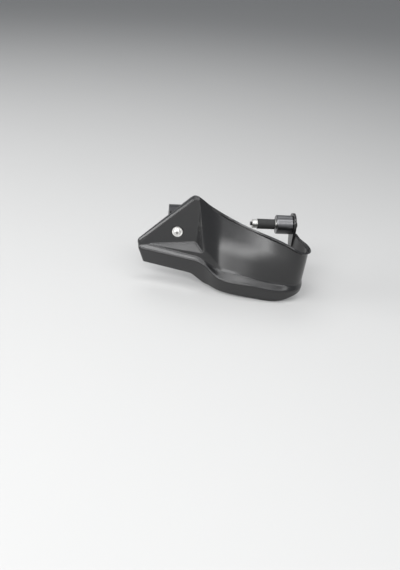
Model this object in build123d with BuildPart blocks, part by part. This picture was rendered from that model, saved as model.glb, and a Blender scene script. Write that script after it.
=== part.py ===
"""Hand guard for the left end of a motorcycle handlebar, in millimetres.

X runs along the handlebar towards its outer end, Y towards the rider and Z up.
The origin is the middle of the clamp bore, on the axis of the handlebar.
"""

import os
from itertools import combinations
from math import atan2, cos, degrees, exp, radians, sin, sqrt, tan

from build123d import *

# Handlebar that the guard is made for
BAR_DIA = 22.2
BAR_END_X = 159.0

# Fasteners, one thread size throughout
THREAD_DIA = 6.0
THREAD_PLAY = 0.05
HOLE_PLAY = 0.3
WASHER_THICK = 1.6
SCREW_PAST = 3.2
SCREW_SHORT = 1.6
THREAD_CHAMFER = 0.5

# Distance within which an edge counts as lying on a plane
ON_PLANE = 0.01

# Shell: flat plate at the inboard end
WALL = 3.0
PLATE_STANDOFF = 45.0
PLATE_YAW = 8.0
SCREW_HEIGHT = 2.0
TIP_X = -61.0
TIP_Z = -20.0
APEX_X = 21.5
APEX_Z = 60.0
APEX_FALL_X = 34.0
APEX_FALL_Z = 60.0
FLANGE_DEPTH = 14.0
TIP_FLANGE_DEPTH = 6.0
FLANGE_END_X = 14.0
LEFT_FOOT_X = -52.0
LEFT_FOOT_Z = -58.0
EDGE_ROUND = 6.0
CORNER_ROUND = 8.5
POCKET_ROUND = 5.0
SPOT_DIA = 19.0
SPOT_DEPTH = 0.8

# Shell: ramp, ridge and skirt
RAMP_START_X = -42.0
RAMP_START_Z = -23.5
RAMP_CORNER_X = 28.5
RAMP_CORNER_Z = -12.8
RIDGE_TOP_X = 30.5
RIDGE_TOP_OUT = 5.0
RIDGE_TOP_Z = 52.0
RIDGE_FOOT_X = 40.2
RIDGE_FOOT_OUT = 21.0
RIDGE_FOOT_Z = -22.7
BAND_HEIGHT = 8.5
FLARE_OUT = 4.5
FLARE_DROP = 5.5
FLARE_ROUND = 6.0
FOLD_LEFT_X = -57.0
FOLD_LEFT_OUT = 3.0
FOLD_LEFT_Z = -30.5
SKIRT_SLOPE = 21.0
SKIRT_HEIGHT = 29.3
RIM_OVERLAP = 2.0

# Shell: wing, along its fold from the ridge to the tab
WING_HEADING = -24.0
WING_SWEEP = 27.0
END_RADIUS = 36.0
END_OVERHANG = 14.9
RETURN_REACH = 4.6
RETURN_Y = -12.0
FOLD_FALL = 0.11
FOLD_STEP = 18.0
FOLD_STEP_LENGTH = 44.0
FOLD_STEP_LEAD = 14.0
FOOT_FALL = 0.09
FOOT_STEP = 15.0
FOOT_STEP_LENGTH = 26.0
FOOT_STEP_LEAD = 25.0
STEP_SECTIONS = 4
RIDGE_BLEND = 46.0
LEDGE_START = 34.0
LEDGE_DEPTH = 8.0
LEDGE_RISE = 8.0
END_LEDGE_DEPTH = 1.5
RIM_RISE = 5.0
WING_LEAN = 13.0
END_LEAN = -4.0
END_SLOPE = 8.0
END_LIFT = 20.0
WING_BULGE = 3.0
RIDGE_BULGE = 0.2
SCOOP_DEPTH = 12.0
SCOOP_LENGTH = 28.0
SCOOP_AT_CREASE = 0.4
MID_ROUND_SHARE = 0.4
RIM_ROUND_SHARE = 0.2
LIP_LENGTH = 5.0
LIP_START = 1.5
LIP_TURN = 50.0
RIDGE_LIP = 4.0
RIDGE_LIP_TURN = -40.0
FOLD_ROUND = 5.0
CREASE_ROUND = 4.0
RETURN_FOLD_Z = -46.0
RETURN_FOOT_Z = -58.0
STAND_UP_FROM = 0.5
STAND_UP_TO = 0.3
FOOT_LIFT_FROM = 0.85
FOOT_LIFT_TO = 0.6
TAB_APPROACH_FROM = 0.6
FOLD_LEVEL_AT = 0.2

# Shell: height of the wing's top edge at its sections, from the ridge to the tab
FRONT_TOPS = [(0.07, 48.4), (0.18, 34.4), (0.40, 22.3), (0.70, 12.0), (1.0, 1.5)]
END_TOPS = [(0.33, -8.5), (0.67, -13.0), (1.0, -12.5)]
RETURN_TOPS = [(0.5, -11.0), (1.0, -10.0)]
RIDGE_CAP = 5.6

# Shell: tab on the bar end
TAB_THICK = 4.0
TAB_RADIUS = 19.0
TAB_FOOT_RADIUS = 9.0
TAB_FOOT_Y = -6.0
TAB_FOOT_Z = -38.0

# Bar end weight and the expander inside the bar
WEIGHT_DIA = 30.0
WEIGHT_LENGTH = 26.0
WEIGHT_CHAMFER = 1.0
BAR_END_WASHER_DIA = 22.0
EXPANDER_DIA = 16.0
EXPANDER_WASHER_THICK = 2.0
SLEEVE_LENGTH = 28.0
SLEEVE_LIP = 1.0
CONE_LENGTH = 12.0
CONE_SHARE = 0.9
WEDGE_TIP_WALL = 1.0
WEDGE_BACK = 8.0

# Shell fastening
SHELL_WASHER_DIA = 16.0
SHELL_HEAD_DIA = 10.5
SHELL_HEAD_HEIGHT = 3.3
SHELL_HEAD_ROUND = 2.3
SHELL_SOCKET = 4.0
SOCKET_SHARE = 0.6
NUT_ACROSS = 10.0
NUT_HEIGHT = 6.0
NUT_FLANGE_DIA = 14.0
NUT_FLANGE_THICK = 1.5

# Handlebar clamp
CLAMP_WIDTH = 24.0
CLAMP_WALL = 5.9
CLAMP_GAP = 2.0
CLAMP_EAR = 10.0
CLAMP_WEB = 2.6
CLAMP_EDGE = 7.0
CLAMP_ROUND = 3.0
CLAMP_HEAD_DIA = 10.0
CLAMP_HEAD_HEIGHT = 6.0
CLAMP_HEAD_CHAMFER = 0.6
CLAMP_SOCKET = 5.0
CLAMP_WASHER_DIA = 12.0

# Bracket from the clamp to the plate
BRACKET_THICK = 3.0
BRACKET_BEND = 2.0
BRACKET_INBOARD = 13.0
BRACKET_WEB = 18.0
BRACKET_FRONT_HEIGHT = 26.0

# Sizes that follow from those above
TAB_X = BAR_END_X + WEIGHT_LENGTH
HOLE_RADIUS = THREAD_DIA / 2 + HOLE_PLAY
TAPPED_RADIUS = THREAD_DIA / 2 + THREAD_PLAY
CLAMP_DEPTH = BAR_DIA / 2 + CLAMP_WALL
CLAMP_SCREW_Z = BAR_DIA / 2 + CLAMP_WEB + HOLE_RADIUS
CLAMP_HEIGHT = 2.0 * (CLAMP_SCREW_Z + CLAMP_EDGE)
CONE_WIDE_RADIUS = EXPANDER_DIA / 2 - SLEEVE_LIP
CONE_NARROW_RADIUS = THREAD_DIA / 2 + WEDGE_TIP_WALL
INBOARD_SPAN = 4.0 * (APEX_Z - LEFT_FOOT_Z)


def ease(value, start, stop):
    """Rise smoothly from 0 at the start to 1 at the stop."""
    share = min(max((value - start) / (stop - start), 0.0), 1.0)
    return share * share * (3.0 - 2.0 * share)


def between(start, end, share):
    """Value part of the way from start to end."""
    return start + (end - start) * share


def plane_through(first, second, third):
    """Plane through three points, its normal by the right-hand rule."""
    along = Vector(second) - Vector(first)
    normal = along.cross(Vector(third) - Vector(first))
    return Plane(origin=first, x_dir=along, z_dir=normal)


def meeting_point(first, second, third):
    """Point where three planes meet."""
    crosses = [
        second.z_dir.cross(third.z_dir),
        third.z_dir.cross(first.z_dir),
        first.z_dir.cross(second.z_dir),
    ]
    total = Vector(0.0, 0.0, 0.0)
    for plane, cross in zip((first, second, third), crosses):
        total += cross * plane.origin.dot(plane.z_dir)
    return total / first.z_dir.dot(crosses[0])


def on_plate(x, z):
    """Point of the plate's outer face."""
    return Vector(x, -PLATE_STANDOFF - x * tan(radians(PLATE_YAW)), z)


# Corners and faces of the inboard end
plate_out = Vector(-sin(radians(PLATE_YAW)), -cos(radians(PLATE_YAW)), 0.0)
plate_along = Vector(cos(radians(PLATE_YAW)), -sin(radians(PLATE_YAW)), 0.0)
plate_face = Plane(origin=on_plate(0.0, SCREW_HEIGHT), x_dir=plate_along, z_dir=plate_out)
tip = on_plate(TIP_X, TIP_Z)
apex = on_plate(APEX_X, APEX_Z)
apex_fall = on_plate(APEX_FALL_X, APEX_FALL_Z)
left_foot = on_plate(LEFT_FOOT_X, LEFT_FOOT_Z)
ramp_start = on_plate(RAMP_START_X, RAMP_START_Z)
ramp_corner = on_plate(RAMP_CORNER_X, RAMP_CORNER_Z)
fold_left = on_plate(FOLD_LEFT_X, FOLD_LEFT_Z) + plate_out * FOLD_LEFT_OUT
ridge_top = Vector(RIDGE_TOP_X, -PLATE_STANDOFF - RIDGE_TOP_OUT, RIDGE_TOP_Z)
ridge_foot = Vector(RIDGE_FOOT_X, -PLATE_STANDOFF - RIDGE_FOOT_OUT, RIDGE_FOOT_Z)
ridge_tilt = atan2(ridge_foot.X - ridge_top.X, ridge_top.Z - ridge_foot.Z)
ridge_lean = atan2(ridge_top.Y - ridge_foot.Y, ridge_top.Z - ridge_foot.Z)
ridge_down = Vector(tan(ridge_tilt), 0.0, -1.0)
ridge_crease = ridge_foot + ridge_down * BAND_HEIGHT
ridge_fold = ridge_crease + ridge_down * FLARE_DROP + Vector(0.0, -FLARE_OUT, 0.0)
skirt_back = Vector(0.0, tan(radians(SKIRT_SLOPE)) * SKIRT_HEIGHT, 0.0)
skirt_foot = ridge_fold + ridge_down * SKIRT_HEIGHT + skirt_back

upper_face = plane_through(tip, apex, apex - plate_out)
apex_face = plane_through(apex, apex_fall, apex_fall - plate_out)
left_face = plane_through(left_foot, tip, tip - plate_out)
skirt_face = plane_through(fold_left, skirt_foot, ridge_fold)
flare_face = plane_through(fold_left, ridge_fold, ridge_crease)
band_face = plane_through(ramp_start, ridge_crease, ridge_foot)
ramp_face = plane_through(ramp_start, ridge_foot, ramp_corner)
wall_face = plane_through(ramp_corner, ridge_foot, ridge_top)
ridge_face = Plane(
    origin=ridge_foot, x_dir=(0, -1, 0), z_dir=(cos(ridge_tilt), 0.0, sin(ridge_tilt))
)
back_face = plane_through(
    tip - plate_out * TIP_FLANGE_DEPTH,
    apex - plate_out * FLANGE_DEPTH,
    left_foot - plate_out * FLANGE_DEPTH,
)
flange_end_back = on_plate(FLANGE_END_X, 0.0) - plate_out * FLANGE_DEPTH
flange_end_front = on_plate(RIDGE_TOP_X, 0.0) - plate_out * (WALL + LIP_START)
flange_end_face = plane_through(
    flange_end_front, flange_end_back, flange_end_front + Vector(0.0, 0.0, APEX_Z)
)
bottom_face = plane_through(skirt_foot, left_foot, skirt_foot - plate_out)
rim_face = plane_through(ramp_start, ridge_foot, ramp_start - plate_out)


def offset_points(points, distance):
    """Points of an open polyline moved to its right-hand side."""
    lines = []
    for start, stop in zip(points, points[1:]):
        along = (stop - start).normalized()
        lines.append((start + Vector(along.Y, -along.X) * distance, along))
    moved = [lines[0][0]]
    for (start, along), (other, heading) in zip(lines, lines[1:]):
        gap = other - start
        cross = along.X * heading.Y - along.Y * heading.X
        moved.append(start + along * ((gap.X * heading.Y - gap.Y * heading.X) / cross))
    last = points[-1] - points[-2]
    moved.append(lines[-1][0] + last)
    return moved


def block_within(planes):
    """Box round the inboard end, cut back to the inner side of every plane."""
    with BuildPart() as block:
        with Locations(ridge_foot):
            Box(INBOARD_SPAN, INBOARD_SPAN, INBOARD_SPAN)
        for plane in planes:
            split(bisect_by=plane, keep=Keep.BOTTOM)
    return block.part


def edges_on(edges, first, second):
    """Edges that lie on both planes."""
    chosen = []
    for edge in edges:
        heights = [plane.to_local_coords(edge @ end).Z for plane in (first, second) for end in (0, 1)]
        if max(abs(height) for height in heights) < ON_PLANE:
            chosen.append(edge)
    return chosen


def plate_prism(inset):
    """The plate's outline with its front edge rounded, carried back past the skirt."""
    past_foot = tip + (left_foot - tip).normalized() * INBOARD_SPAN
    past_fall = apex + (apex_fall - apex).normalized() * INBOARD_SPAN
    corners = [past_foot, tip, apex, past_fall]
    corners = [plate_face.to_local_coords(corner) for corner in corners]
    corners = offset_points([Vector(corner.X, corner.Y) for corner in corners], inset)
    corners.append(Vector(corners[-1].X, corners[0].Y))
    rounds = [0.0, CORNER_ROUND - inset, CORNER_ROUND - inset, 0.0, 0.0]
    with BuildPart() as prism:
        with BuildSketch(plate_face.offset(-inset)):
            with BuildLine():
                FilletPolyline(*corners, radius=rounds, close=True)
            make_face()
        extrude(amount=ridge_foot.Y)
        front_edges = prism.faces().sort_by(Axis(plate_face.origin, plate_out))[-1].edges()
        fillet(front_edges, radius=EDGE_ROUND - inset)
    return prism.part


def round_between(part, planes, rounding):
    """The part with the edges rounded where two of the planes meet."""
    with BuildPart() as rounded:
        add(part)
        meeting = []
        for first, second in combinations(planes, 2):
            meeting += edges_on(rounded.edges(), first, second)
        fillet(meeting, radius=rounding)
    return rounded.part


def room_before(planes, rounding):
    """The space in front of every plane, with the edges where they meet rounded."""
    turned = [Plane(origin=plane.origin, x_dir=plane.x_dir, z_dir=-plane.z_dir) for plane in planes]
    return round_between(block_within(turned), planes, rounding)


def inboard_body(inset):
    """The inboard end as a filled body, its faces moved in by the inset."""
    upper, top, left = [face.offset(-inset) for face in (upper_face, apex_face, left_face)]
    skirt, flare, band = [face.offset(-inset) for face in (skirt_face, flare_face, band_face)]
    plate, ramp, wall = [face.offset(-inset) for face in (plate_face, ramp_face, wall_face)]
    tuck = -EDGE_ROUND / 2
    tucked = [face.offset(tuck) for face in (left, upper, top)]
    plate_block = plate_prism(inset)
    lower_faces = [skirt, flare, left]
    lower_edge = round_between(block_within(lower_faces), lower_faces, FOLD_ROUND - inset)
    below_ramp = room_before([band, flare], FLARE_ROUND + inset)
    pocket = room_before([plate, ramp, wall], POCKET_ROUND + inset)
    relief = block_within([skirt.offset(-FOLD_ROUND), *tucked])
    with BuildPart() as body:
        add(relief)
        add(below_ramp, mode=Mode.SUBTRACT)
        add(pocket, mode=Mode.SUBTRACT)
        add(plate_block)
        split(bisect_by=skirt.offset(-FOLD_ROUND), keep=Keep.BOTTOM)
        add(lower_edge)
        split(bisect_by=ridge_face, keep=Keep.BOTTOM)
    return body.part


def step_plane(distance):
    """Plane beside the ridge, through the fold at a distance from it."""
    fold_line = ridge_fold - fold_left
    place = ridge_fold + fold_line * (distance / fold_line.X)
    return Plane(origin=place, x_dir=(0, -1, 0), z_dir=-ridge_face.z_dir)


outer_body = inboard_body(0.0)
inner_body = inboard_body(WALL)
step_room = block_within([rim_face.offset(-RIM_OVERLAP), step_plane(-FOOT_STEP_LEAD)])

with BuildPart() as inboard:
    add(outer_body)
    split(bisect_by=back_face, keep=Keep.BOTTOM)
    split(bisect_by=bottom_face, keep=Keep.BOTTOM)
    split(bisect_by=flange_end_face, keep=Keep.BOTTOM)
    add(inner_body, mode=Mode.SUBTRACT)
    add(step_room, mode=Mode.SUBTRACT)

# Plan line of the fold: along the front, round the outer end and back to the tab
front_turned = WING_HEADING + WING_SWEEP
front_start = Vector(ridge_fold.X + ridge_fold.Z * tan(ridge_tilt), ridge_fold.Y)
front_stop_x = TAB_X + END_OVERHANG - END_RADIUS * (1.0 - sin(radians(front_turned)))
front_bend = sin(radians(front_turned)) - sin(radians(WING_HEADING))
front_radius = (front_stop_x - front_start.X) / front_bend
with BuildLine() as fold_path:
    front = JernArc(
        front_start,
        (cos(radians(WING_HEADING)), sin(radians(WING_HEADING))),
        front_radius,
        WING_SWEEP,
    )
    end_centre = (front @ 1) + (front % 1).rotate(Axis.Z, 90.0) * END_RADIUS
    to_return = Vector(TAB_X + RETURN_REACH, RETURN_Y) - end_centre
    back_length = sqrt(to_return.length**2 - END_RADIUS**2)
    end_stop = atan2(to_return.Y, to_return.X) - atan2(back_length, END_RADIUS)
    end_sweep = degrees(end_stop) + 90.0 - front_turned
    end = JernArc(front @ 1, front % 1, END_RADIUS, end_sweep)
    back = Line(end @ 1, (end @ 1) + (end % 1) * back_length)


def run(front_share, end_share=0.0, back_share=0.0):
    """Distance along the fold at shares of its three runs."""
    return front_share * front.length + end_share * end.length + back_share * back_length


# Distances and heights of the wing's sections, and the stretches over which its form changes
stations = [(0.0, RIDGE_TOP_Z + RIDGE_CAP)]
stations += [(run(share), top) for share, top in FRONT_TOPS]
stations += [(run(1.0, share), top) for share, top in END_TOPS]
stations += [(run(1.0, 1.0, share), top) for share, top in RETURN_TOPS]
stand_up = (run(STAND_UP_FROM), run(1.0, STAND_UP_TO))
foot_lift = (run(FOOT_LIFT_FROM), run(1.0, FOOT_LIFT_TO))
square_turn = (run(1.0) - END_RADIUS, run(1.0) + END_RADIUS)
tab_approach = (run(1.0, TAB_APPROACH_FROM), run(1.0, 1.0, 1.0))
fold_level = run(1.0, FOLD_LEVEL_AT)


def wall_sketch(plane, outer, outer_rounds, inner_rounds):
    """Section of the wall: an outer line, and the same line one wall further in."""
    inner = offset_points(outer[::-1], WALL)
    with BuildSketch(plane) as section:
        with BuildLine():
            FilletPolyline(*outer, radius=outer_rounds)
            Line(outer[-1], inner[0])
            FilletPolyline(*inner, radius=inner_rounds)
            Line(inner[-1], outer[0])
        make_face()
    return section.sketch


def fold_at_step(distance):
    """How far the fold has stepped down, at a distance from the ridge."""
    return FOLD_STEP * ease(distance, -FOLD_STEP_LEAD, FOLD_STEP_LENGTH - FOLD_STEP_LEAD)


def foot_at_step(distance):
    """How far the foot has stepped down, at a distance from the ridge."""
    return FOOT_STEP * ease(distance, -FOOT_STEP_LEAD, FOOT_STEP_LENGTH - FOOT_STEP_LEAD)


def step_section(distance):
    """Section of the skirt, flare and band inboard of the ridge, where the step starts."""
    plane = step_plane(distance)
    crease = plane.to_local_coords(meeting_point(plane, flare_face, band_face))
    foot = plane.to_local_coords(meeting_point(plane, skirt_face, bottom_face))
    level = 1.0 / cos(ridge_tilt)
    fold_point = Vector(0.0, -fold_at_step(distance) * level)
    crease_point = crease + fold_point
    rim_point = Vector(crease.X, (ridge_foot.Z - plane.origin.Z) * level)
    foot_height = foot.Y - foot_at_step(distance) * level
    foot_point = Vector(foot.X / foot.Y * (foot_height - fold_point.Y), foot_height)
    return wall_sketch(
        plane,
        [foot_point, fold_point, crease_point, rim_point],
        [FOLD_ROUND, FLARE_ROUND],
        [FLARE_ROUND + WALL, FOLD_ROUND - WALL],
    )


def along_fold(distance):
    """Point and heading at a distance along the plan line of the fold."""
    for bend in (front, end):
        if distance <= bend.length:
            return bend @ (distance / bend.length), bend % (distance / bend.length)
        distance -= bend.length
    return back @ min(distance / back_length, 1.0), back % 1.0


def corner_round(before, corner, after, share):
    """Radius that takes up a share of the shorter side of a corner."""
    arriving = corner - before
    leaving = after - corner
    turn = radians(abs(arriving.get_signed_angle(leaving)))
    return share * min(arriving.length, leaving.length) / tan(turn / 2)


def wing_section(distance, top):
    """Section of the wing's wall at a distance along the fold."""
    place, heading = along_fold(distance)
    near_ridge = 1.0 - ease(distance, 0.0, RIDGE_BLEND)
    ledge = ease(distance, 0.0, LEDGE_START)
    upright = ease(distance, *stand_up)
    round_end = ease(distance, *foot_lift)
    to_tab = ease(distance, *tab_approach)

    angle = atan2(heading.Y, heading.X) * ease(distance, *square_turn)
    forward = Vector(sin(angle), -cos(angle), 0.0)
    tilt = ridge_tilt * near_ridge
    rise = Vector(-cos(angle) * sin(tilt), -sin(angle) * sin(tilt), cos(tilt))
    level = 1.0 / cos(tilt)
    plane = Plane(origin=place, x_dir=forward, z_dir=forward.cross(rise))

    fold = ridge_fold.Z - FOLD_FALL * min(distance, fold_level) - fold_at_step(distance)
    foot = skirt_foot.Z - FOOT_FALL * distance - foot_at_step(distance) + END_LIFT * round_end
    fold = between(fold, RETURN_FOLD_Z, to_tab)
    foot = between(foot, RETURN_FOOT_Z, to_tab)
    scoop = SCOOP_DEPTH * distance / SCOOP_LENGTH * exp(1.0 - distance / SCOOP_LENGTH)
    depth = between(between(FLARE_OUT, LEDGE_DEPTH, ledge), END_LEDGE_DEPTH, round_end)
    depth += SCOOP_AT_CREASE * scoop
    crease = fold + between(FLARE_DROP, LEDGE_RISE, ledge)
    wall_foot = between(ridge_foot.Z, crease, ledge)
    rim = wall_foot + RIM_RISE * ledge
    front_lean = between(ridge_lean, radians(WING_LEAN), ledge)
    lean = tan(between(between(front_lean, radians(END_LEAN), upright), 0.0, to_tab))
    slope = tan(radians(between(SKIRT_SLOPE, END_SLOPE, round_end)))
    lip = between(between(LIP_LENGTH, RIDGE_LIP, near_ridge), LIP_START, to_tab)
    lip_turn = radians(between(LIP_TURN, RIDGE_LIP_TURN, near_ridge))
    bulge = between(RIDGE_BULGE, WING_BULGE, ledge * (1.0 - round_end))

    foot_point = Vector(-slope * (fold - foot), foot * level)
    fold_point = Vector(0.0, fold * level)
    crease_point = Vector(-depth, crease * level)
    top_set = (1.0 - SCOOP_AT_CREASE) * scoop + lean * (top - wall_foot)
    top_point = Vector(-depth - top_set, top * level)
    rim_set = top_set * (rim - wall_foot) / (top - wall_foot)
    rim_point = Vector(-depth - rim_set, rim * level)
    mid_point = (rim_point + top_point) / 2 + Vector(bulge, 0.0)
    lip_point = top_point + Vector(sin(lip_turn), cos(lip_turn)) * lip

    crease_round = between(FLARE_ROUND, CREASE_ROUND, ledge)
    rim_round = corner_round(crease_point, rim_point, mid_point, RIM_ROUND_SHARE)
    mid_round = corner_round(rim_point, mid_point, top_point, MID_ROUND_SHARE)
    return wall_sketch(
        plane,
        [foot_point, fold_point, crease_point, rim_point, mid_point, top_point, lip_point],
        [FOLD_ROUND, crease_round, rim_round, mid_round, 0.0],
        [0.0, mid_round - WALL, 0.0, crease_round + WALL, FOLD_ROUND - WALL],
    )


with BuildPart() as step_skirt:
    leads = [FOOT_STEP_LEAD * number / STEP_SECTIONS for number in range(STEP_SECTIONS, -1, -1)]
    loft([step_section(-lead) for lead in leads])

with BuildPart() as wing:
    loft([wing_section(distance, top) for distance, top in stations])

# Shell, with its tab and holes
screw_axis = Plane(origin=plate_face.origin - plate_out * SPOT_DEPTH, x_dir=plate_along, z_dir=plate_out)

with BuildPart() as guard_shell:
    add(inboard.part)
    add(step_skirt.part)
    add(wing.part)
    with BuildSketch(Plane.YZ.offset(TAB_X)):
        Circle(TAB_RADIUS)
        with Locations((TAB_FOOT_Y, TAB_FOOT_Z)):
            Circle(TAB_FOOT_RADIUS)
        make_hull()
    extrude(amount=TAB_THICK)
    with BuildSketch(Plane.YZ.offset(TAB_X)):
        Circle(HOLE_RADIUS)
    extrude(amount=TAB_THICK, mode=Mode.SUBTRACT)
    with BuildSketch(screw_axis):
        Circle(SPOT_DIA / 2)
    extrude(amount=2.0 * SPOT_DEPTH, mode=Mode.SUBTRACT)
    with BuildSketch(screw_axis):
        Circle(HOLE_RADIUS)
    extrude(amount=-2.0 * WALL, mode=Mode.SUBTRACT)


def cap_screw(seat, head_dia, head_height, edge_cut, edge_size, socket, length):
    """Screw with a hexagon socket, its head standing on the seat plane with its rim cut back."""
    up = Axis(seat.origin, seat.z_dir)
    with BuildPart() as screw:
        with BuildSketch(seat):
            Circle(head_dia / 2)
        extrude(amount=head_height)
        edge_cut(screw.edges().sort_by(up)[-1], edge_size)
        with BuildSketch(seat):
            Circle(THREAD_DIA / 2)
        extrude(amount=-length)
        chamfer(screw.edges().sort_by(up)[0], length=THREAD_CHAMFER)
        with BuildSketch(seat.offset(head_height)):
            RegularPolygon(radius=socket / 2, side_count=6, major_radius=False)
        extrude(amount=-SOCKET_SHARE * head_height, mode=Mode.SUBTRACT)
    return screw.part


def flat_washer(seat, outer_dia, thick):
    """Washer standing on the seat plane."""
    with BuildPart() as washer:
        with BuildSketch(seat):
            Circle(outer_dia / 2)
            Circle(HOLE_RADIUS, mode=Mode.SUBTRACT)
        extrude(amount=thick)
    return washer.part


# Screw, washer and nut that hold the plate
with BuildPart() as shell_washer:
    add(flat_washer(screw_axis, SHELL_WASHER_DIA, WASHER_THICK))

with BuildPart() as shell_screw:
    add(
        cap_screw(
            screw_axis.offset(WASHER_THICK),
            SHELL_HEAD_DIA,
            SHELL_HEAD_HEIGHT,
            fillet,
            SHELL_HEAD_ROUND,
            SHELL_SOCKET,
            WASHER_THICK + WALL - SPOT_DEPTH + BRACKET_THICK + NUT_HEIGHT + SCREW_PAST,
        )
    )

plate_back = plate_face.offset(-WALL)
bracket_back = plate_face.offset(-WALL - BRACKET_THICK)
with BuildPart() as shell_nut:
    with BuildSketch(bracket_back):
        RegularPolygon(radius=NUT_ACROSS / 2, side_count=6, major_radius=False)
    extrude(amount=-NUT_HEIGHT)
    with BuildSketch(bracket_back):
        Circle(NUT_FLANGE_DIA / 2)
    extrude(amount=-NUT_FLANGE_THICK)
    with BuildSketch(bracket_back):
        Circle(TAPPED_RADIUS)
    extrude(amount=-NUT_HEIGHT, mode=Mode.SUBTRACT)

# Bracket bent from strip
clamp_face = Plane(origin=(0, -CLAMP_DEPTH, 0), x_dir=(1, 0, 0), z_dir=(0, -1, 0))
bracket_start = plate_back.from_local_coords((-BRACKET_INBOARD, 0.0, 0.0))
bracket_corner = plate_back.from_local_coords((BRACKET_WEB, 0.0, 0.0))
bracket_outer = [
    Vector(bracket_start.X, bracket_start.Y),
    Vector(bracket_corner.X, bracket_corner.Y),
    Vector(bracket_corner.X, -CLAMP_DEPTH),
    Vector(-CLAMP_WIDTH / 2, -CLAMP_DEPTH),
]
bracket_inner = offset_points(bracket_outer[::-1], BRACKET_THICK)
bend_out = BRACKET_BEND + BRACKET_THICK

with BuildPart() as bracket:
    with BuildSketch(Plane.XY):
        with BuildLine():
            FilletPolyline(*bracket_outer, radius=bend_out)
            Line(bracket_outer[-1], bracket_inner[0])
            FilletPolyline(*bracket_inner, radius=BRACKET_BEND)
            Line(bracket_inner[-1], bracket_outer[0])
        make_face()
    extrude(amount=CLAMP_HEIGHT / 2, both=True)
    rear_y = -CLAMP_DEPTH - bend_out
    front_y = bracket_corner.Y + bend_out
    front_half = BRACKET_FRONT_HEIGHT / 2
    with BuildSketch(Plane.YZ):
        with BuildLine():
            Polyline(
                (0.0, CLAMP_HEIGHT / 2),
                (rear_y, CLAMP_HEIGHT / 2),
                (front_y, SCREW_HEIGHT + front_half),
                (2.0 * front_y, SCREW_HEIGHT + front_half),
                (2.0 * front_y, SCREW_HEIGHT - front_half),
                (front_y, SCREW_HEIGHT - front_half),
                (rear_y, -CLAMP_HEIGHT / 2),
                (0.0, -CLAMP_HEIGHT / 2),
                close=True,
            )
        make_face()
    extrude(amount=2.0 * BRACKET_WEB, both=True, mode=Mode.INTERSECT)
    with BuildSketch(plate_back):
        Circle(HOLE_RADIUS)
    extrude(amount=-BRACKET_THICK, mode=Mode.SUBTRACT)
    with BuildSketch(clamp_face):
        with Locations((0.0, CLAMP_SCREW_Z), (0.0, -CLAMP_SCREW_Z)):
            Circle(HOLE_RADIUS)
    extrude(amount=BRACKET_THICK, mode=Mode.SUBTRACT)

# Clamp halves
with BuildPart() as clamp_front:
    with BuildSketch(Plane.YZ):
        with Locations((-(CLAMP_DEPTH + CLAMP_GAP / 2) / 2, 0.0)):
            Rectangle(CLAMP_DEPTH - CLAMP_GAP / 2, CLAMP_HEIGHT)
        Circle(BAR_DIA / 2, mode=Mode.SUBTRACT)
    extrude(amount=CLAMP_WIDTH / 2, both=True)
    fillet(clamp_front.edges().filter_by(Axis.X).group_by(Axis.Y)[0], radius=CLAMP_ROUND)
    with BuildSketch(clamp_face):
        with Locations((0.0, CLAMP_SCREW_Z), (0.0, -CLAMP_SCREW_Z)):
            Circle(HOLE_RADIUS)
    extrude(amount=-CLAMP_DEPTH, mode=Mode.SUBTRACT)

with BuildPart() as clamp_rear:
    with BuildSketch(Plane.YZ):
        Circle(BAR_DIA / 2 + CLAMP_WALL)
        Rectangle(2.0 * CLAMP_EAR, CLAMP_HEIGHT)
        Circle(BAR_DIA / 2, mode=Mode.SUBTRACT)
        with Locations((CLAMP_GAP / 2 - CLAMP_DEPTH, 0.0)):
            Rectangle(2.0 * CLAMP_DEPTH, 2.0 * CLAMP_HEIGHT, mode=Mode.SUBTRACT)
    extrude(amount=CLAMP_WIDTH / 2, both=True)
    ear_edges = clamp_rear.edges().filter_by(Axis.X)
    lowest, *_, highest = ear_edges.group_by(Axis.Z)
    fillet([lowest.sort_by(Axis.Y)[-1], highest.sort_by(Axis.Y)[-1]], radius=CLAMP_ROUND)
    with BuildSketch(Plane.XZ):
        with Locations((0.0, CLAMP_SCREW_Z), (0.0, -CLAMP_SCREW_Z)):
            Circle(TAPPED_RADIUS)
    extrude(amount=-CLAMP_DEPTH, mode=Mode.SUBTRACT)

# Clamp screws and washers, through the bracket and the front half into the rear half
seat_y = -CLAMP_DEPTH - BRACKET_THICK
clamp_screw_length = WASHER_THICK + BRACKET_THICK + CLAMP_DEPTH + CLAMP_EAR - SCREW_SHORT
upper_seat = Plane(origin=(0, seat_y, CLAMP_SCREW_Z), x_dir=(1, 0, 0), z_dir=(0, -1, 0))
lower_seat = Plane(origin=(0, seat_y, -CLAMP_SCREW_Z), x_dir=(1, 0, 0), z_dir=(0, -1, 0))

with BuildPart() as clamp_washer_upper:
    add(flat_washer(upper_seat, CLAMP_WASHER_DIA, WASHER_THICK))

with BuildPart() as clamp_washer_lower:
    add(flat_washer(lower_seat, CLAMP_WASHER_DIA, WASHER_THICK))

with BuildPart() as clamp_screw_upper:
    add(
        cap_screw(
            upper_seat.offset(WASHER_THICK),
            CLAMP_HEAD_DIA,
            CLAMP_HEAD_HEIGHT,
            chamfer,
            CLAMP_HEAD_CHAMFER,
            CLAMP_SOCKET,
            clamp_screw_length,
        )
    )

with BuildPart() as clamp_screw_lower:
    add(
        cap_screw(
            lower_seat.offset(WASHER_THICK),
            CLAMP_HEAD_DIA,
            CLAMP_HEAD_HEIGHT,
            chamfer,
            CLAMP_HEAD_CHAMFER,
            CLAMP_SOCKET,
            clamp_screw_length,
        )
    )

# Bar end weight, and the screw that holds tab and weight
bar_end = Plane.YZ.offset(BAR_END_X)
tab_outside = Plane.YZ.offset(TAB_X + TAB_THICK)

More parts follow.
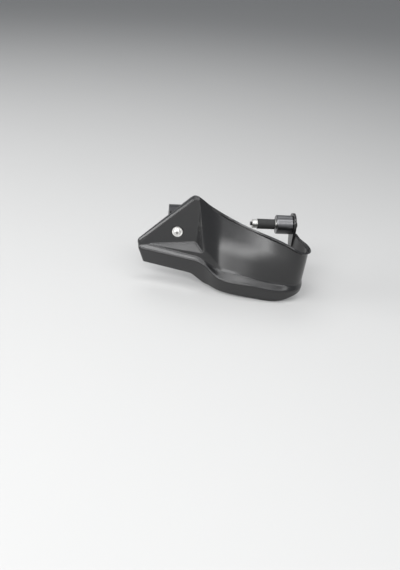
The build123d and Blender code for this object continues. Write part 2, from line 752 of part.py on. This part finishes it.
with BuildPart() as bar_end_weight:
    with BuildSketch(bar_end):
        Circle(WEIGHT_DIA / 2)
    extrude(amount=WEIGHT_LENGTH)
    chamfer(bar_end_weight.edges(), length=WEIGHT_CHAMFER)
    with BuildSketch(bar_end):
        Circle(HOLE_RADIUS)
    extrude(amount=WEIGHT_LENGTH, mode=Mode.SUBTRACT)

with BuildPart() as bar_end_washer:
    add(flat_washer(tab_outside, BAR_END_WASHER_DIA, WASHER_THICK))

sleeve_end = BAR_END_X - EXPANDER_WASHER_THICK
sleeve_start = sleeve_end - SLEEVE_LENGTH
wedge_start = sleeve_start - WEDGE_BACK
wedge_tip = sleeve_start + CONE_SHARE * CONE_LENGTH
wedge_tip_radius = between(CONE_WIDE_RADIUS, CONE_NARROW_RADIUS, CONE_SHARE)

with BuildPart() as bar_end_screw:
    add(
        cap_screw(
            tab_outside.offset(WASHER_THICK),
            SHELL_HEAD_DIA,
            SHELL_HEAD_HEIGHT,
            fillet,
            SHELL_HEAD_ROUND,
            SHELL_SOCKET,
            TAB_X + TAB_THICK + WASHER_THICK - wedge_start + SCREW_PAST,
        )
    )

with BuildPart() as expander_washer:
    washer_seat = bar_end.offset(-EXPANDER_WASHER_THICK)
    add(flat_washer(washer_seat, 2.0 * CONE_WIDE_RADIUS, EXPANDER_WASHER_THICK))

with BuildPart() as expander_sleeve:
    with BuildSketch(Plane.XY):
        with BuildLine():
            Polyline(
                (sleeve_start, CONE_WIDE_RADIUS),
                (sleeve_start, EXPANDER_DIA / 2),
                (sleeve_end, EXPANDER_DIA / 2),
                (sleeve_end, HOLE_RADIUS),
                (sleeve_start + CONE_LENGTH, HOLE_RADIUS),
                (sleeve_start + CONE_LENGTH, CONE_NARROW_RADIUS),
                close=True,
            )
        make_face()
    revolve(axis=Axis.X)

with BuildPart() as expander_wedge:
    with BuildSketch(Plane.XY):
        with BuildLine():
            Polyline(
                (wedge_start, TAPPED_RADIUS),
                (wedge_start, CONE_WIDE_RADIUS),
                (sleeve_start, CONE_WIDE_RADIUS),
                (wedge_tip, wedge_tip_radius),
                (wedge_tip, TAPPED_RADIUS),
                close=True,
            )
        make_face()
    revolve(axis=Axis.X)

os.makedirs("parts", exist_ok=True)

guard_shell.part.label = "guard_shell"
export_step(guard_shell.part, "parts/guard_shell.step")
shell_screw.part.label = "shell_screw"
export_step(shell_screw.part, "parts/shell_screw.step")
shell_washer.part.label = "shell_washer"
export_step(shell_washer.part, "parts/shell_washer.step")
shell_nut.part.label = "shell_nut"
export_step(shell_nut.part, "parts/shell_nut.step")
bracket.part.label = "bracket"
export_step(bracket.part, "parts/bracket.step")
clamp_front.part.label = "clamp_front"
export_step(clamp_front.part, "parts/clamp_front.step")
clamp_rear.part.label = "clamp_rear"
export_step(clamp_rear.part, "parts/clamp_rear.step")
clamp_screw_upper.part.label = "clamp_screw_upper"
export_step(clamp_screw_upper.part, "parts/clamp_screw_upper.step")
clamp_screw_lower.part.label = "clamp_screw_lower"
export_step(clamp_screw_lower.part, "parts/clamp_screw_lower.step")
clamp_washer_upper.part.label = "clamp_washer_upper"
export_step(clamp_washer_upper.part, "parts/clamp_washer_upper.step")
clamp_washer_lower.part.label = "clamp_washer_lower"
export_step(clamp_washer_lower.part, "parts/clamp_washer_lower.step")
bar_end_weight.part.label = "bar_end_weight"
export_step(bar_end_weight.part, "parts/bar_end_weight.step")
bar_end_screw.part.label = "bar_end_screw"
export_step(bar_end_screw.part, "parts/bar_end_screw.step")
bar_end_washer.part.label = "bar_end_washer"
export_step(bar_end_washer.part, "parts/bar_end_washer.step")
expander_washer.part.label = "expander_washer"
export_step(expander_washer.part, "parts/expander_washer.step")
expander_sleeve.part.label = "expander_sleeve"
export_step(expander_sleeve.part, "parts/expander_sleeve.step")
expander_wedge.part.label = "expander_wedge"
export_step(expander_wedge.part, "parts/expander_wedge.step")
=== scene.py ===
"""Looks, stage and camera for the motorcycle hand guard, laid out as an add-on."""

import math

import bpy
from mathutils import Matrix, Vector


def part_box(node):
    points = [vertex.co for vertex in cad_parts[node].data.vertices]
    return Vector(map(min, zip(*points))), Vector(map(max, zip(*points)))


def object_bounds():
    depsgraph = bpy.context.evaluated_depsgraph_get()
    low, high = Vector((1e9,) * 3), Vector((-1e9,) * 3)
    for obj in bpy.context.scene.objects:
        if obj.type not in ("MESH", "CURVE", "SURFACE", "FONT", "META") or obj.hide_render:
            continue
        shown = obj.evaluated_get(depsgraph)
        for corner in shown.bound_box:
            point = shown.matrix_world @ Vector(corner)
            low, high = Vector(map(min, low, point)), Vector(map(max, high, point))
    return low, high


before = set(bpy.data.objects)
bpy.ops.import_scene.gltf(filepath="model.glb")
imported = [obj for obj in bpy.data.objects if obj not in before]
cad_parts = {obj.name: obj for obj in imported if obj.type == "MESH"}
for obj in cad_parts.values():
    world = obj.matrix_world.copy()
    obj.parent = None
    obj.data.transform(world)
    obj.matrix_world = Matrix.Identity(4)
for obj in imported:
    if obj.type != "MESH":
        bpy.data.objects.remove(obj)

bl_info = {
    "name": "Hand Guard Finish",
    "version": (1, 0, 0),
    "blender": (4, 5, 0),
    "location": "View3D > Sidebar > Hand Guard",
    "description": "Dresses the hand guard's solids and sets up the stage around them",
    "category": "Object",
}

CAD_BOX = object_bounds()

# Photograph's frame in pixels, and the camera's sensor in millimetres
IMAGE_WIDTH = 400
IMAGE_HEIGHT = 570
SENSOR_LONG_SIDE = 36.0

# Shell screw: its washer lies in a shallow spot on the plate, which is turned about Z
PLATE_YAW = math.radians(8.0)
PLATE_OUT = Vector((-math.sin(PLATE_YAW), -math.cos(PLATE_YAW), 0.0))
PLATE_STANDOFF = 0.045
SCREW_HEIGHT = 0.002
WASHER_THICK = 0.0016
SPOT_DEPTH = 0.0008
SHELL_SCREW_POINT = Vector((0.0, -PLATE_STANDOFF, SCREW_HEIGHT))
SHELL_SCREW_SEAT = SHELL_SCREW_POINT + PLATE_OUT * (WASHER_THICK - SPOT_DEPTH)

# Marks on every screw, and the painted shade inside the shell screw's socket
THREAD_PITCH = 0.001
THREAD_DEPTH = 0.0006
SOCKET_REACH = 0.0023
# Share of the steel's colour left inside the socket: painted shade in the recess
SOCKET_SHADE = 0.4
CLAMP_HEAD_HEIGHT = 0.006

# Stage
FLOOR_SIZE = 12.0
FLOOR_GAP = 0.001
FLOOR_ROUGHNESS = 0.8
SKY_COLOUR = (0.93, 0.96, 1.0, 1.0)
LAMP_SPREAD = math.radians(140.0)
GUARD_MIDDLE = (0.06, -0.04, -0.02)


def colour_property(name, description, default):
    """Colour that a user can change."""
    return bpy.props.FloatVectorProperty(
        name=name, description=description, subtype="COLOR", size=3, min=0.0, max=1.0, default=default
    )


class GuardFinish(bpy.types.PropertyGroup):
    """Colours and surface sizes of the guard's materials."""

    shell_colour: colour_property(
        "Shell colour", "Base colour of the moulded plastic", (0.012, 0.012, 0.0126)
    )
    steel_colour: colour_property(
        "Bright steel colour", "Colour of the plated screw and washer on the plate", (0.80, 0.79, 0.77)
    )
    zinc_colour: colour_property(
        "Zinc colour", "Colour of the dull plated nut and washers", (0.56, 0.56, 0.54)
    )
    weight_colour: colour_property(
        "Weight colour", "Colour of the blackened bar end weight", (0.16, 0.16, 0.165)
    )
    coat_colour: colour_property(
        "Coat colour", "Colour of the bracket's powder coat", (0.022, 0.022, 0.023)
    )
    clamp_colour: colour_property(
        "Clamp colour", "Colour of the dyed clamp halves", (0.060, 0.060, 0.064)
    )
    oxide_colour: colour_property(
        "Oxide colour", "Colour of the black screws", (0.035, 0.034, 0.034)
    )
    rubber_colour: colour_property(
        "Rubber colour", "Colour of the expander sleeve", (0.022, 0.022, 0.022)
    )
    shell_roughness: bpy.props.FloatProperty(
        name="Shell roughness",
        description="Middle of the satin sheen on the plastic",
        subtype="FACTOR",
        min=0.0,
        max=1.0,
        default=0.25,
    )
    grain_size: bpy.props.FloatProperty(
        name="Grain size",
        description="Width of one grain of the moulded texture",
        subtype="DISTANCE",
        unit="LENGTH",
        min=0.0001,
        default=0.0005,
    )
    edge_softness: bpy.props.FloatProperty(
        name="Edge softness",
        description="Radius by which shading rounds the moulding's sharp edges",
        subtype="DISTANCE",
        unit="LENGTH",
        min=0.0,
        default=0.0014,
    )


class GuardStage(bpy.types.PropertyGroup):
    """Floor, lights and camera."""

    floor_colour: colour_property("Floor colour", "Colour of the plain floor", (0.58, 0.58, 0.576))
    floor_bounce: bpy.props.FloatProperty(
        name="Floor bounce",
        description="Share of the floor's colour that it throws back at the guard",
        subtype="FACTOR",
        min=0.0,
        max=1.0,
        default=0.3,
    )
    room_light: bpy.props.FloatProperty(
        name="Room light",
        description="Strength of the light that the surroundings give",
        min=0.0,
        default=0.25,
    )
    room_shown: bpy.props.FloatProperty(
        name="Room shown",
        description="Strength at which the surroundings are seen, where 1 is white",
        min=0.0,
        max=1.0,
        default=0.4,
    )
    azimuth: bpy.props.FloatProperty(
        name="Camera azimuth",
        description="Turn of the camera about the vertical, from straight ahead",
        subtype="ANGLE",
        default=math.radians(-6.5),
    )
    elevation: bpy.props.FloatProperty(
        name="Camera elevation",
        description="Height of the camera above the level of the guard",
        subtype="ANGLE",
        default=math.radians(30.0),
    )
    roll: bpy.props.FloatProperty(
        name="Camera roll",
        description="Tilt of the camera about its line of sight",
        subtype="ANGLE",
        default=math.radians(5.0),
    )
    distance: bpy.props.FloatProperty(
        name="Camera distance",
        description="Depth of the bar end tab in front of the camera",
        subtype="DISTANCE",
        unit="LENGTH",
        default=1.05,
    )
    focal_pixels: bpy.props.FloatProperty(
        name="Focal length in pixels",
        description="Focal length of the photograph, in its own pixels",
        default=656.0,
    )
    tab_pixel: bpy.props.FloatVectorProperty(
        name="Tab pixel",
        description="Where the inner face of the tab lies in the photograph",
        size=2,
        default=(291.5, 225.0),
    )


def add_node(tree, kind, inputs=None, **settings):
    """Add one shader node, set its options and its unlinked inputs."""
    node = tree.nodes.new(kind)
    for name, value in settings.items():
        setattr(node, name, value)
    for name, value in (inputs or {}).items():
        node.inputs[name].default_value = value
    return node


def new_material(name, colour, roughness, metallic=0.0):
    """Material with a principled shader and object coordinates to build on."""
    material = bpy.data.materials.new(name)
    material.use_nodes = True
    tree = material.node_tree
    shader = tree.nodes["Principled BSDF"]
    shader.inputs["Base Color"].default_value = (*colour, 1.0)
    shader.inputs["Roughness"].default_value = roughness
    shader.inputs["Metallic"].default_value = metallic
    place = add_node(tree, "ShaderNodeTexCoord")
    return material, tree, shader, place.outputs["Object"]


def noise(tree, place, size, detail=2.0):
    """Noise whose blotches are about the given size across, in metres."""
    node = add_node(tree, "ShaderNodeTexNoise", {"Scale": 1.0 / size, "Detail": detail})
    tree.links.new(place, node.inputs["Vector"])
    return node.outputs["Fac"]


def spread(tree, value, low, high):
    """Map the middle of a 0 to 1 pattern onto a range."""
    limits = {"From Min": 0.3, "From Max": 0.7, "To Min": low, "To Max": high}
    node = add_node(tree, "ShaderNodeMapRange", limits)
    tree.links.new(value, node.inputs["Value"])
    return node.outputs["Result"]


def blend_colours(tree, factor, first, second):
    """Mix two colours by a pattern."""
    node = add_node(tree, "ShaderNodeMix", data_type="RGBA")
    node.inputs["A"].default_value = (*first, 1.0)
    node.inputs["B"].default_value = (*second, 1.0)
    tree.links.new(factor, node.inputs["Factor"])
    return node.outputs["Result"]


def bump(tree, height, depth, strength=1.0, base=None):
    """Bump of a real depth in metres, on top of another normal if one is given."""
    node = add_node(tree, "ShaderNodeBump", {"Strength": strength, "Distance": depth})
    tree.links.new(height, node.inputs["Height"])
    if base is not None:
        tree.links.new(base, node.inputs["Normal"])
    return node.outputs["Normal"]


def soft_edges(tree, radius):
    """Normal that rounds the edges of a solid in its shading."""
    return add_node(tree, "ShaderNodeBevel", {"Radius": radius}, samples=6).outputs["Normal"]


def math_node(tree, operation, *values):
    """Math on sockets and plain numbers."""
    node = add_node(tree, "ShaderNodeMath", operation=operation)
    for socket, value in zip(node.inputs, values):
        if isinstance(value, bpy.types.NodeSocket):
            tree.links.new(value, socket)
        else:
            socket.default_value = value
    return node.outputs["Value"]


def about_axis(tree, place, point, axis):
    """Distance along an axis, turn about it in revolutions, and distance from it."""
    side = axis.orthogonal().normalized()
    from_point = add_node(tree, "ShaderNodeVectorMath", operation="SUBTRACT")
    tree.links.new(place, from_point.inputs[0])
    from_point.inputs[1].default_value = point
    parts = []
    for direction in (axis, side, axis.cross(side)):
        part = add_node(tree, "ShaderNodeVectorMath", operation="DOT_PRODUCT")
        tree.links.new(from_point.outputs["Vector"], part.inputs[0])
        part.inputs[1].default_value = direction
        parts.append(part.outputs["Value"])
    along, across, above = parts
    turn = math_node(tree, "MULTIPLY", math_node(tree, "ARCTAN2", across, above), 0.5 / math.pi)
    across_square = math_node(tree, "POWER", across, 2.0)
    above_square = math_node(tree, "POWER", above, 2.0)
    radius = math_node(tree, "SQRT", math_node(tree, "ADD", across_square, above_square))
    return along, turn, radius


def screw_marks(tree, place, seat, axis):
    """Thread below a screw's seat, as a height, and the inside of its socket, as a mask."""
    along, turn, radius = about_axis(tree, place, seat, axis)
    rounds = math_node(tree, "MULTIPLY_ADD", along, 1.0 / THREAD_PITCH, turn)
    flanks = math_node(tree, "PINGPONG", rounds, 0.5)
    thread = math_node(tree, "MULTIPLY", flanks, math_node(tree, "LESS_THAN", along, 0.0))
    inner = math_node(tree, "LESS_THAN", radius, SOCKET_REACH)
    socket = math_node(tree, "MULTIPLY", inner, math_node(tree, "GREATER_THAN", along, 0.0))
    return thread, socket


def shade(colour, amount):
    """A colour made lighter or darker."""
    return tuple(min(channel * amount, 1.0) for channel in colour)


def shell_plastic(finish):
    """Black moulded plastic: satin sheen, faint patches of tone, fine grain and soft edges."""
    colour = tuple(finish.shell_colour)
    middle = finish.shell_roughness
    material, tree, shader, place = new_material("shell_plastic", colour, middle)
    patches = noise(tree, place, size=0.030, detail=3.0)
    toned = blend_colours(tree, patches, shade(colour, 0.88), shade(colour, 1.15))
    tree.links.new(toned, shader.inputs["Base Color"])
    glints = noise(tree, place, size=0.012, detail=4.0)
    sheen = spread(tree, glints, low=middle - 0.02, high=middle + 0.02)
    tree.links.new(sheen, shader.inputs["Roughness"])
    soft = soft_edges(tree, finish.edge_softness)
    grains = noise(tree, place, size=finish.grain_size)
    grain = bump(tree, grains, depth=0.00006, strength=0.35, base=soft)
    tree.links.new(grain, shader.inputs["Normal"])
    shader.inputs["Specular IOR Level"].default_value = 0.6
    return material


def bright_steel(finish):
    """Plated steel with fine marks, a thread below its seat and painted shade darkening the inside of
    the socket.
    """
    colour = tuple(finish.steel_colour)
    material, tree, shader, place = new_material("bright_steel", colour, roughness=0.30, metallic=1.0)
    thread, socket = screw_marks(tree, place, SHELL_SCREW_SEAT, PLATE_OUT)
    # Painted shade: the inside of the socket is darkened in colour
    toned = blend_colours(tree, socket, colour, shade(colour, SOCKET_SHADE))
    tree.links.new(toned, shader.inputs["Base Color"])
    rough = spread(tree, noise(tree, place, size=0.0012, detail=3.0), low=0.25, high=0.36)
    tree.links.new(rough, shader.inputs["Roughness"])
    marks = bump(tree, noise(tree, place, size=0.0004), depth=0.00002, strength=0.3)
    threaded = bump(tree, thread, depth=THREAD_DEPTH, base=marks)
    tree.links.new(threaded, shader.inputs["Normal"])
    return material


def zinc_steel(finish):
    """Dull zinc plating with its crystal mottle."""
    colour = tuple(finish.zinc_colour)
    material, tree, shader, place = new_material("zinc_steel", colour, roughness=0.42, metallic=1.0)
    crystals = add_node(tree, "ShaderNodeTexVoronoi", {"Scale": 900.0})
    tree.links.new(place, crystals.inputs["Vector"])
    toned = blend_colours(tree, crystals.outputs["Distance"], shade(colour, 0.85), shade(colour, 1.12))
    tree.links.new(toned, shader.inputs["Base Color"])
    rough = spread(tree, noise(tree, place, size=0.002), low=0.34, high=0.50)
    tree.links.new(rough, shader.inputs["Roughness"])
    pits = bump(tree, noise(tree, place, size=0.0003), depth=0.00002, strength=0.4)
    tree.links.new(pits, shader.inputs["Normal"])
    return material


def coated_steel(finish):
    """Black powder coat with its orange peel."""
    colour = tuple(finish.coat_colour)
    material, tree, shader, place = new_material("coated_steel", colour, roughness=0.42)
    rough = spread(tree, noise(tree, place, size=0.006), low=0.36, high=0.48)
    tree.links.new(rough, shader.inputs["Roughness"])
    peel = bump(tree, noise(tree, place, size=0.0011), depth=0.00008, strength=0.5)
    tree.links.new(peel, shader.inputs["Normal"])
    return material


def clamp_aluminium(finish):
    """Bead blasted aluminium, dyed black."""
    colour = tuple(finish.clamp_colour)
    material, tree, shader, place = new_material("clamp_aluminium", colour, roughness=0.46, metallic=0.6)
    patches = noise(tree, place, size=0.010)
    toned = blend_colours(tree, patches, shade(colour, 0.85), shade(colour, 1.2))
    tree.links.new(toned, shader.inputs["Base Color"])
    soft = soft_edges(tree, radius=0.0006)
    blasted = bump(tree, noise(tree, place, size=0.00035), depth=0.00004, strength=0.5, base=soft)
    tree.links.new(blasted, shader.inputs["Normal"])
    return material


def black_screw_steel(finish, name, seat, axis):
    """Black oxide on a steel screw, a little worn, with its thread below the seat."""
    colour = tuple(finish.oxide_colour)
    material, tree, shader, place = new_material(name, colour, roughness=0.38, metallic=0.7)
    wear = noise(tree, place, size=0.0015, detail=4.0)
    toned = blend_colours(tree, wear, shade(colour, 0.8), shade(colour, 1.5))
    tree.links.new(toned, shader.inputs["Base Color"])
    thread, socket = screw_marks(tree, place, seat, axis)
    tree.links.new(spread(tree, socket, low=0.36, high=0.6), shader.inputs["Roughness"])
    marks = bump(tree, noise(tree, place, size=0.0003), depth=0.00002, strength=0.4)
    threaded = bump(tree, thread, depth=THREAD_DEPTH, base=marks)
    tree.links.new(threaded, shader.inputs["Normal"])
    return material


def weight_steel(finish):
    """Blackened steel over fine lathe rings."""
    colour = tuple(finish.weight_colour)
    material, tree, shader, place = new_material("weight_steel", colour, roughness=0.3, metallic=1.0)
    pattern = {"Scale": 260.0, "Distortion": 0.3}
    rings = add_node(tree, "ShaderNodeTexWave", pattern, wave_type="BANDS", bands_direction="X")
    tree.links.new(place, rings.inputs["Vector"])
    rough = spread(tree, noise(tree, place, size=0.004, detail=3.0), low=0.28, high=0.34)
    tree.links.new(rough, shader.inputs["Roughness"])
    turned = bump(tree, rings.outputs["Fac"], depth=0.000004, strength=0.3)
    tree.links.new(turned, shader.inputs["Normal"])
    return material


def sleeve_rubber(finish):
    """Plain black rubber with a dusty bloom."""
    colour = tuple(finish.rubber_colour)
    material, tree, shader, place = new_material("sleeve_rubber", colour, roughness=0.72)
    bloom = noise(tree, place, size=0.004, detail=4.0)
    toned = blend_colours(tree, bloom, shade(colour, 0.8), shade(colour, 1.6))
    tree.links.new(toned, shader.inputs["Base Color"])
    skin = bump(tree, noise(tree, place, size=0.0006), depth=0.00005, strength=0.5)
    tree.links.new(skin, shader.inputs["Normal"])
    return material


def dress(material, *names):
    """Give CAD nodes a material in place of their plain one."""
    for name in names:
        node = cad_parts[name]
        node.data.materials.clear()
        node.data.materials.append(material)


class GUARD_OT_dress_shell(bpy.types.Operator):
    """Finish the moulded shell"""

    bl_idname = "guard.dress_shell"
    bl_label = "Dress Shell"

    def execute(self, context):
        dress(shell_plastic(context.scene.guard_finish), "guard_shell")
        return {"FINISHED"}


class GUARD_OT_dress_fasteners(bpy.types.Operator):
    """Finish the screws, washers, nut and expander wedge"""

    bl_idname = "guard.dress_fasteners"
    bl_label = "Dress Fasteners"

    def execute(self, context):
        finish = context.scene.guard_finish
        dress(bright_steel(finish), "shell_screw", "shell_washer")
        dress(
            zinc_steel(finish),
            "shell_nut",
            "clamp_washer_upper",
            "clamp_washer_lower",
            "bar_end_washer",
            "expander_washer",
            "expander_wedge",
        )
        clamp_axis = Vector((0.0, -1.0, 0.0))
        for name in ("clamp_screw_upper", "clamp_screw_lower"):
            low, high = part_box(name)
            seat = Vector(((low.x + high.x) / 2, low.y + CLAMP_HEAD_HEIGHT, (low.z + high.z) / 2))
            dress(black_screw_steel(finish, name + "_steel", seat, clamp_axis), name)
        bar_axis = Vector((1.0, 0.0, 0.0))
        bar_end_seat = Vector((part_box("bar_end_washer")[1].x, 0.0, 0.0))
        dress(black_screw_steel(finish, "bar_end_screw_steel", bar_end_seat, bar_axis), "bar_end_screw")
        return {"FINISHED"}


class GUARD_OT_dress_clamp(bpy.types.Operator):
    """Finish the clamp halves and the bracket"""

    bl_idname = "guard.dress_clamp"
    bl_label = "Dress Clamp"

    def execute(self, context):
        finish = context.scene.guard_finish
        dress(clamp_aluminium(finish), "clamp_front", "clamp_rear")
        dress(coated_steel(finish), "bracket")
        return {"FINISHED"}


class GUARD_OT_dress_bar_end(bpy.types.Operator):
    """Finish the bar end weight and the sleeve behind it"""

    bl_idname = "guard.dress_bar_end"
    bl_label = "Dress Bar End"

    def execute(self, context):
        finish = context.scene.guard_finish
        dress(weight_steel(finish), "bar_end_weight")
        dress(sleeve_rubber(finish), "expander_sleeve")
        return {"FINISHED"}


def aim(location, target):
    """Placement that looks from a location at a target."""
    turn = (target - location).to_track_quat("-Z", "Y")
    return Matrix.Translation(location) @ turn.to_matrix().to_4x4()


def add_lamp(name, location, size, power, target=GUARD_MIDDLE):
    """Rectangular soft lamp, of a size in metres and a power in watts."""
    light = bpy.data.lights.new(name, "AREA")
    light.shape = "RECTANGLE"
    light.size, light.size_y = size
    light.energy = power
    light.spread = LAMP_SPREAD
    lamp = bpy.data.objects.new(name, light)
    bpy.context.scene.collection.objects.link(lamp)
    lamp.matrix_world = aim(Vector(location), Vector(target))
    lamp.visible_camera = False


def seen_rays(tree):
    """1 for rays that show a surface, straight or in a mirror, and 0 for those that only light it."""
    path = add_node(tree, "ShaderNodeLightPath")
    shown = path.outputs["Is Camera Ray"]
    for kind in ("Is Glossy Ray", "Is Transmission Ray"):
        shown = math_node(tree, "MAXIMUM", shown, path.outputs[kind])
    return shown


def add_world(stage):
    """Pale surroundings that give the guard only a little of their light."""
    world = bpy.data.worlds.new("studio")
    bpy.context.scene.world = world
    world.use_nodes = True
    tree = world.node_tree
    sky = tree.nodes["Background"]
    sky.inputs["Color"].default_value = SKY_COLOUR
    limits = {"To Min": stage.room_light, "To Max": stage.room_shown}
    strength = add_node(tree, "ShaderNodeMapRange", limits)
    tree.links.new(seen_rays(tree), strength.inputs["Value"])
    tree.links.new(strength.outputs["Result"], sky.inputs["Strength"])


def floor_paper(stage):
    """Plain pale paper that throws back less light than it shows."""
    colour = tuple(stage.floor_colour)
    material, tree, shader, place = new_material("floor_paper", colour, FLOOR_ROUGHNESS)
    toned = blend_colours(tree, noise(tree, place, size=0.25), shade(colour, 0.985), colour)
    pale = add_node(tree, "ShaderNodeMix", data_type="RGBA")
    pale.inputs["A"].default_value = (*shade(colour, stage.floor_bounce), 1.0)
    tree.links.new(toned, pale.inputs["B"])
    tree.links.new(seen_rays(tree), pale.inputs["Factor"])
    tree.links.new(pale.outputs["Result"], shader.inputs["Base Color"])
    return material


def add_floor(stage):
    """Large plain floor just under the guard."""
    height = CAD_BOX[0].z - FLOOR_GAP
    bpy.ops.object.select_all(action="DESELECT")
    bpy.ops.mesh.primitive_plane_add(size=FLOOR_SIZE, location=(0.0, 0.0, height))
    floor = bpy.context.object
    floor.name = "floor"
    bpy.ops.object.transform_apply(location=True, rotation=False, scale=False)
    floor.data.materials.append(floor_paper(stage))


def add_camera(stage):
    """Camera at the photograph's angle, so that the tab lands on its pixel."""
    azimuth, elevation, roll = stage.azimuth, stage.elevation, stage.roll
    back = Vector(
        (
            math.sin(azimuth) * math.cos(elevation),
            -math.cos(azimuth) * math.cos(elevation),
            math.sin(elevation),
        )
    )
    level = Vector((math.cos(azimuth), math.sin(azimuth), 0.0))
    upright = back.cross(level)
    right = level * math.cos(roll) + upright * math.sin(roll)
    up = upright * math.cos(roll) - level * math.sin(roll)
    tab = Vector((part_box("bar_end_weight")[1].x, 0.0, 0.0))
    across = (stage.tab_pixel[0] - IMAGE_WIDTH / 2) / stage.focal_pixels * stage.distance
    above = (IMAGE_HEIGHT / 2 - stage.tab_pixel[1]) / stage.focal_pixels * stage.distance
    placed = Matrix((right, up, back)).transposed().to_4x4()
    placed.translation = tab - right * across - up * above + back * stage.distance
    data = bpy.data.cameras.new("photo_camera")
    data.sensor_width = SENSOR_LONG_SIDE
    data.lens = stage.focal_pixels / IMAGE_HEIGHT * SENSOR_LONG_SIDE
    camera = bpy.data.objects.new("photo_camera", data)
    bpy.context.scene.collection.objects.link(camera)
    camera.matrix_world = placed
    bpy.context.scene.camera = camera


class GUARD_OT_set_stage(bpy.types.Operator):
    """Set up the floor, the lights and the camera"""

    bl_idname = "guard.set_stage"
    bl_label = "Set Stage"

    def execute(self, context):
        stage = context.scene.guard_stage
        context.scene.view_settings.view_transform = "Standard"
        add_world(stage)
        add_floor(stage)
        straight_below = (-0.1, -0.45, 0.0)
        add_lamp("overhead", (-0.1, -0.45, 1.8), size=(2.2, 0.45), power=10.0, target=straight_below)
        add_lamp("high_front", (-0.55, -1.55, 1.4), size=(2.3, 0.5), power=19.0)
        add_lamp("left", (-2.07, -0.1, 0.75), size=(1.6, 0.7), power=14.0)
        add_lamp("right", (1.0, -1.2, 1.45), size=(0.9, 0.6), power=3.5)
        add_lamp("low_front", (-0.85, -2.44, 0.18), size=(1.7, 0.5), power=12.0)
        add_lamp("rear", (-0.2, 1.2, 1.9), size=(2.0, 1.2), power=8.0)
        add_camera(stage)
        return {"FINISHED"}


OPERATORS = (
    GUARD_OT_dress_shell,
    GUARD_OT_dress_fasteners,
    GUARD_OT_dress_clamp,
    GUARD_OT_dress_bar_end,
    GUARD_OT_set_stage,
)


class GUARD_PT_sidebar(bpy.types.Panel):
    """Buttons for each step of the finish"""

    bl_label = "Hand Guard"
    bl_idname = "GUARD_PT_sidebar"
    bl_space_type = "VIEW_3D"
    bl_region_type = "UI"
    bl_category = "Hand Guard"

    def draw(self, context):
        layout = self.layout
        for operator in OPERATORS:
            layout.operator(operator.bl_idname)
        for group in (context.scene.guard_finish, context.scene.guard_stage):
            for name in group.__annotations__:
                layout.prop(group, name)


CLASSES = (GuardFinish, GuardStage, *OPERATORS, GUARD_PT_sidebar)


def register():
    for item in CLASSES:
        bpy.utils.register_class(item)
    bpy.types.Scene.guard_finish = bpy.props.PointerProperty(type=GuardFinish)
    bpy.types.Scene.guard_stage = bpy.props.PointerProperty(type=GuardStage)


def unregister():
    del bpy.types.Scene.guard_stage
    del bpy.types.Scene.guard_finish
    for item in reversed(CLASSES):
        bpy.utils.unregister_class(item)


def main():
    register()
    bpy.ops.guard.dress_shell()
    bpy.ops.guard.dress_fasteners()
    bpy.ops.guard.dress_clamp()
    bpy.ops.guard.dress_bar_end()
    bpy.ops.guard.set_stage()


if __name__ == "__main__":
    main()
